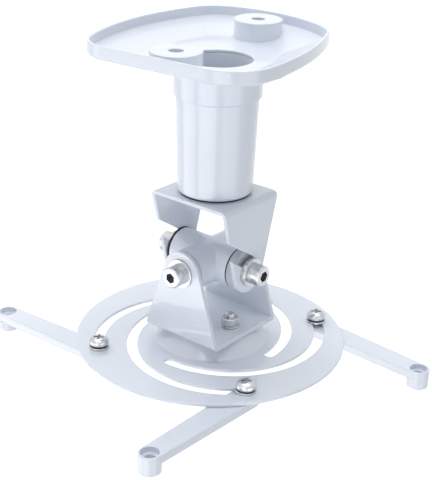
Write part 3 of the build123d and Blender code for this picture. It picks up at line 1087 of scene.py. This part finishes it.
@dataclass
class KnuckleFittings:
    """The four socket screws of the knuckle with their washers and bushes."""

    shop: Workshop
    head_radius: float = 6.5
    head_height: float = 8.0
    head_edge: float = 0.8
    shank_radius: float = 4.0
    tip_chamfer: float = 0.6
    socket_radius: float = 3.46
    socket_depth: float = 4.6
    bore: float = 4.1
    washer_radius: float = 9.0
    slide_gap: float = 0.03
    bush_radius: float = 13.2
    bush_depth: float = 1.9
    sleeve_radius: float = 4.39
    # The ring at the right bush's foot, whose black faces are painted shade in the joint.
    shade_ring_inset: float = 0.28
    shade_ring_width: float = 1.0
    shade_ring_sink: float = 0.7
    shade_ring_rise: float = 0.5

    def build(self) -> None:
        """Builds the fittings at the four ends of the knuckle."""
        low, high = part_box("knuckle")
        self.centre = (low + high) / 2
        ends = {
            "tilt_{}_right": Direction.RIGHT,
            "tilt_{}_left": Direction.LEFT,
            "roll_{}_back": Direction.BACK,
            "roll_{}_front": Direction.FRONT,
        }
        for pattern, direction in ends.items():
            self._screw(pattern.format("screw"), direction)
            self._washer(pattern.format("washer"), direction)
            self._bush(pattern.format("bush"), direction)

    def _span(self, node: str, direction: Direction) -> Pair:
        """Measures a node along a direction from the knuckle's centre.

        Args:
            node: The node's name.
            direction: The way to measure.

        Returns:
            The nearest and farthest distance in millimetres.
        """
        way = Vector(direction.value)
        ends = sorted((corner - self.centre).dot(way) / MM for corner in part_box(node))
        return ends[0], ends[1]

    def _screw(self, node: str, direction: Direction) -> None:
        """Builds one socket head cap screw.

        Args:
            node: The screw's node.
            direction: The way that its head points.
        """
        near, far = self._span(node, direction)
        r, tip, seat = self.shank_radius, self.tip_chamfer, far - self.head_height
        head, edge, floor = self.head_radius, self.head_edge, far - self.socket_depth
        form = turned([
            (0, near), (r - tip, near), (r, near + tip), (r, seat), (head, seat),
            (head, far - edge), (head - edge, far), (0, far)], 48)
        soften(form, 0.25, angle=35)
        form = carved(form, prism(self.socket_radius, floor, far + 1))
        # Faces inside the socket take the darker zinc: painted shade in the recess.
        for face in form.faces:
            middle = face.calc_center_median() / MM
            inside = middle.xy.length < self.socket_radius
            face.material_index = int(inside and floor - 0.1 < middle.z < far - 0.1)
        form = aimed(form, self.centre, direction)
        self.shop.finish(node, form, self.shop.zinc, self.shop.socket)

    def _washer(self, node: str, direction: Direction) -> None:
        """Builds one zinc washer.

        Args:
            node: The washer's node.
            direction: The way that its screw points.
        """
        near, far = self._span(node, direction)
        form = washer(self.bore, self.washer_radius, near + self.slide_gap, far, 0.3, 56)
        self.shop.finish(node, aimed(form, self.centre, direction), self.shop.zinc)

    def _bush(self, node: str, direction: Direction) -> None:
        """Builds one shoulder washer, which starts where its barrel ends.

        The right one has a black ring over the barrel's chamfer, painted shade in the joint
        between barrel and bush, and the left one is black.

        Args:
            node: The bush's node.
            direction: The way that its sleeve points.
        """
        near, far = self._span(node, direction)
        shoulder = near + self.bush_depth - self.slide_gap
        start = near + BARREL_GROWTH.get(direction, 0.0)
        shade_ringed = direction is Direction.RIGHT
        rim, rise = self.bush_radius, start + self.shade_ring_rise
        inner, ring = rim - self.shade_ring_width, rim - self.shade_ring_inset
        foot = [(rim, start)]
        if shade_ringed:
            foot = [(inner, start), (ring, start - self.shade_ring_sink), (ring, rise), (rim, rise)]
        sleeve = [(self.sleeve_radius, shoulder), (self.sleeve_radius, far), (self.bore, far)]
        form = turned([(self.bore, start)] + foot + [(rim, shoulder)] + sleeve, 96)
        soften(form, 0.08)
        # Faces of the right bush's ring take black: painted shade in the joint between barrel and
        # bush.
        for face in form.faces:
            middle = face.calc_center_median() / MM
            outside = middle.z < rise - 0.05 and middle.xy.length > inner - 0.1
            face.material_index = int(shade_ringed and outside)
        polymer = self.shop.black if direction is Direction.LEFT else self.shop.pale
        form = aimed(form, self.centre, direction)
        self.shop.finish(node, form, polymer, self.shop.black if shade_ringed else None)


@dataclass
class BracketFixings:
    """The two bolts, washers and nuts that hold the lower bracket on the hub."""

    shop: Workshop
    offset: float = 15.5
    corners: float = 5.77
    shank_radius: float = 3.0
    tip_chamfer: float = 0.6
    head_height: float = 3.6
    washer_bore: float = 3.3
    washer_radius: float = 6.0
    nut_bore: float = 3.04

    def build(self) -> None:
        """Builds both sets."""
        makers = {"bolts": self._bolt, "washers": self._washer, "nuts": self._nut}
        for name, maker in makers.items():
            self._pair(f"bracket_{name}", maker)

    def _pair(self, node: str, maker: Callable[[float, float], Form]) -> None:
        """Makes a node's two pieces.

        Args:
            node: The node's name.
            maker: The method that makes one of them between two heights.
        """
        low, high = heights(node)
        centre = axis_of("bracket_washers")
        places = [centre + Vector((side * self.offset * MM, 0, 0)) for side in (1, -1)]
        forms = [aimed(maker(low, high), place) for place in places]
        self.shop.finish(node, joined(forms), self.shop.zinc)

    def _bolt(self, low: float, high: float) -> Form:
        """Makes a bolt with its head down, between two heights."""
        r, seat, chamfer = self.shank_radius, low + self.head_height, self.tip_chamfer
        head = prism(self.corners, low, seat)
        soften(head, 0.4)
        shank = turned([
            (0, seat), (r, seat), (r, high - chamfer), (r - chamfer, high), (0, high)], 32)
        return joined([head, shank])

    def _washer(self, low: float, high: float) -> Form:
        """Makes a washer between two heights."""
        return washer(self.washer_bore, self.washer_radius, low, high, 0.25, 40)

    def _nut(self, low: float, high: float) -> Form:
        """Makes a nut between two heights."""
        nut = prism(self.corners, low, high)
        soften(nut, 0.5)
        return bored(nut, self.nut_bore, low - 1, high + 1, 32)


@dataclass
class ArmFixings:
    """The pan head screws of the arms, each on a dark ring and a zinc washer.

    The pan is the side of the screw's head, as steps (in from its rim, up from its seat).
    """

    shop: Workshop
    head_radius: float = 6.0
    head_height: float = 4.4
    pan: Tuple[Pair, ...] = (
        (0.15, 0.0), (0.0, 0.3), (0.0, 1.5), (0.35, 2.6), (1.2, 3.4), (2.6, 4.25))
    shank_radius: float = 3.0
    recess_width: float = 1.3
    recess_span: float = 6.4
    recess_depth: float = 2.1
    recess_turn: float = 35.0
    past_crown: float = 0.5
    ring_bore: float = 3.1
    ring_gap: float = 0.02

    def build(self) -> None:
        """Builds the fixings of the four arms."""
        for arm in ARMS:
            place = axis_of(f"arm_screw_{arm}")
            self._screw(f"arm_screw_{arm}", place)
            self._ring(f"arm_washer_{arm}", place, self.shop.zinc)
            self._ring(f"arm_ring_{arm}", place, self.shop.black)

    def _screw(self, node: str, place: Vector) -> None:
        """Builds one pan head screw with a cross recess.

        Args:
            node: The screw's node.
            place: Where its axis stands.
        """
        low, high = heights(node)
        base = high - self.head_height
        side = [(self.head_radius - inwards, base + up) for inwards, up in self.pan]
        shank = [(0, low), (self.shank_radius, low), (self.shank_radius, base)]
        form = turned(shank + side + [(0, high)], 48)
        width, span = self.recess_width * MM, self.recess_span * MM
        depth = (self.recess_depth + self.past_crown) * MM
        middle = (0, 0, (high + (self.past_crown - self.recess_depth) / 2) * MM)
        for size in ((width, span, depth), (span, width, depth)):
            bar = bmesh.new()
            bmesh.ops.create_cube(bar, size=1.0)
            bmesh.ops.scale(bar, vec=size, verts=bar.verts)
            bmesh.ops.translate(bar, vec=middle, verts=bar.verts)
            form = carved(form, bar)
        turn = Matrix.Rotation(math.radians(self.recess_turn), 4, "Z")
        bmesh.ops.transform(form, matrix=turn, verts=form.verts)
        self.shop.finish(node, aimed(form, place), self.shop.zinc)

    def _ring(self, node: str, place: Vector, finish: Finish) -> None:
        """Builds a washer or ring from its node's box.

        Args:
            node: The ring's node.
            place: Where its axis stands.
            finish: The ring's finish.
        """
        low, high = heights(node)
        form = washer(self.ring_bore, radius_of(node), low + self.ring_gap, high, 0.25, 40)
        self.shop.finish(node, aimed(form, place), finish)


@dataclass(frozen=True)
class Lamp:
    """A soft square lamp: its place and side in metres, and its power in watts.

    Where glare is off, glossy faces don't mirror the lamp itself.
    """

    name: str
    place: Tuple[float, float, float]
    side: float
    power: float
    glare: bool = True


@dataclass
class Studio:
    """A pale floor, soft lamps and the camera at the photograph's angle."""

    camera_place: Tuple[float, float, float] = (0.40569, -0.50648, 0.15565)
    forward: Tuple[float, float, float] = (-0.56994, 0.71544, -0.4040)
    roll_degrees: float = 1.84
    lens_mm: float = 84.91
    aim: Tuple[float, float, float] = (0.0, 0.0, -0.12)
    lamps: Tuple[Lamp, ...] = (
        Lamp("top_lamp", (-0.1, 0.05, 1.4), 1.3, 14.5),
        Lamp("back_left_lamp", (-1.08, 0.12, 0.72), 0.8, 5.0, False),
        Lamp("back_lamp", (-0.72, 0.9, 0.8), 0.9, 2.8, False),
        Lamp("back_right_lamp", (0.75, 0.95, 0.72), 0.8, 2.5, False),
        Lamp("left_lamp", (-0.92, -0.92, -0.55), 1.0, 5.0),
        Lamp("front_lamp", (0.28, -1.27, -0.55), 1.1, 7.0),
        Lamp("front_high_lamp", (0.2, -1.2, 0.6), 0.9, 2.0),
        Lamp("right_lamp", (1.25, -0.25, -0.5), 1.1, 4.0),
    )
    floor_height: float = -1.9
    floor_radius: float = 9.0
    floor_tone: float = 0.8
    floor_roughness: float = 0.9
    floor_glow: float = 0.95
    world_tone: Colour = (0.83, 0.91, 1.0)
    world_strength: float = 0.27

    def build(self) -> None:
        """Builds the floor, world, lights and camera."""
        self._floor()
        self._world()
        for lamp in self.lamps:
            self._light(lamp)
        self._camera()

    def _camera(self) -> None:
        """Sets the camera with the angle and lens of the photograph."""
        forward = Vector(self.forward).normalized()
        right = forward.cross(Vector((0, 0, 1))).normalized()
        up = right.cross(forward)
        roll = math.radians(self.roll_degrees)
        rolled_right = right * math.cos(roll) + up * math.sin(roll)
        rolled_up = up * math.cos(roll) - right * math.sin(roll)
        data = bpy.data.cameras.new("camera")
        data.lens = self.lens_mm
        camera = bpy.data.objects.new("camera", data)
        turn = Matrix((rolled_right, rolled_up, -forward)).transposed().to_4x4()
        camera.matrix_world = Matrix.Translation(self.camera_place) @ turn
        bpy.context.scene.collection.objects.link(camera)
        bpy.context.scene.camera = camera

    def _light(self, lamp: Lamp) -> None:
        """Adds a lamp aimed at the middle of the object.

        Args:
            lamp: The lamp's place, size and power.
        """
        data = bpy.data.lights.new(lamp.name, "AREA")
        data.size = lamp.side
        data.energy = lamp.power
        light = bpy.data.objects.new(lamp.name, data)
        light.location = lamp.place
        light.visible_glossy = lamp.glare
        way = Vector(self.aim) - Vector(lamp.place)
        light.rotation_euler = way.to_track_quat("-Z", "Y").to_euler()
        bpy.context.scene.collection.objects.link(light)

    def _floor(self) -> None:
        """Adds a pale floor whose glow shows white around the object's shadow."""
        form = bmesh.new()
        bmesh.ops.create_circle(form, cap_ends=True, segments=64, radius=self.floor_radius,
                                matrix=Matrix.Translation((0, 0, self.floor_height)))
        mesh = bpy.data.meshes.new("studio_floor")
        form.to_mesh(mesh)
        form.free()
        floor = bpy.data.objects.new("studio_floor", mesh)
        bpy.context.scene.collection.objects.link(floor)
        material = bpy.data.materials.new("studio_floor")
        material.use_nodes = True
        nodes, links = material.node_tree.nodes, material.node_tree.links
        shader = nodes["Principled BSDF"]
        shader.inputs["Base Color"].default_value = (*[self.floor_tone] * 3, 1)
        shader.inputs["Roughness"].default_value = self.floor_roughness
        glow = nodes.new("ShaderNodeEmission")
        links.new(self._seen(nodes, links), glow.inputs["Strength"])
        glow.inputs["Color"].default_value = (*[self.floor_glow] * 3, 1)
        whole = nodes.new("ShaderNodeAddShader")
        links.new(shader.outputs["BSDF"], whole.inputs[0])
        links.new(glow.outputs["Emission"], whole.inputs[1])
        links.new(whole.outputs["Shader"], nodes["Material Output"].inputs["Surface"])
        mesh.materials.append(material)

    @staticmethod
    def _seen(nodes: bpy.types.Nodes, links: bpy.types.NodeLinks) -> Socket:
        """Adds a factor of 1 for what the camera sees, straight or in a reflection.

        Args:
            nodes: The nodes to add to.
            links: The links of the same tree.

        Returns:
            The factor's socket.
        """
        path = nodes.new("ShaderNodeLightPath")
        either = nodes.new("ShaderNodeMath")
        either.operation = "MAXIMUM"
        links.new(path.outputs["Is Camera Ray"], either.inputs[0])
        links.new(path.outputs["Is Glossy Ray"], either.inputs[1])
        return either.outputs["Value"]

    def _world(self) -> None:
        """Sets an even world light that shows white to the camera."""
        world = bpy.data.worlds.new("studio")
        bpy.context.scene.world = world
        world.use_nodes = True
        nodes, links = world.node_tree.nodes, world.node_tree.links
        even = nodes["Background"]
        even.inputs["Color"].default_value = (*self.world_tone, 1)
        even.inputs["Strength"].default_value = self.world_strength
        white = nodes.new("ShaderNodeBackground")
        white.inputs["Color"].default_value = (1, 1, 1, 1)
        mix = nodes.new("ShaderNodeMixShader")
        links.new(self._seen(nodes, links), mix.inputs["Fac"])
        links.new(even.outputs["Background"], mix.inputs[1])
        links.new(white.outputs["Background"], mix.inputs[2])
        links.new(mix.outputs["Shader"], nodes["World Output"].inputs["Surface"])


def main() -> None:
    """Builds the dressed part and the studio."""
    logging.basicConfig(level=logging.INFO, format="%(name)s: %(message)s")
    shop = Workshop()
    assemblies = (CastForms, Brackets, AdapterDisc, SwingArms, Column, KnuckleFittings,
                  BracketFixings, ArmFixings)
    for assembly in assemblies:
        assembly(shop).build()
    Studio().build()
    bpy.context.scene.view_settings.view_transform = "Standard"


if __name__ == "__main__":
    main()
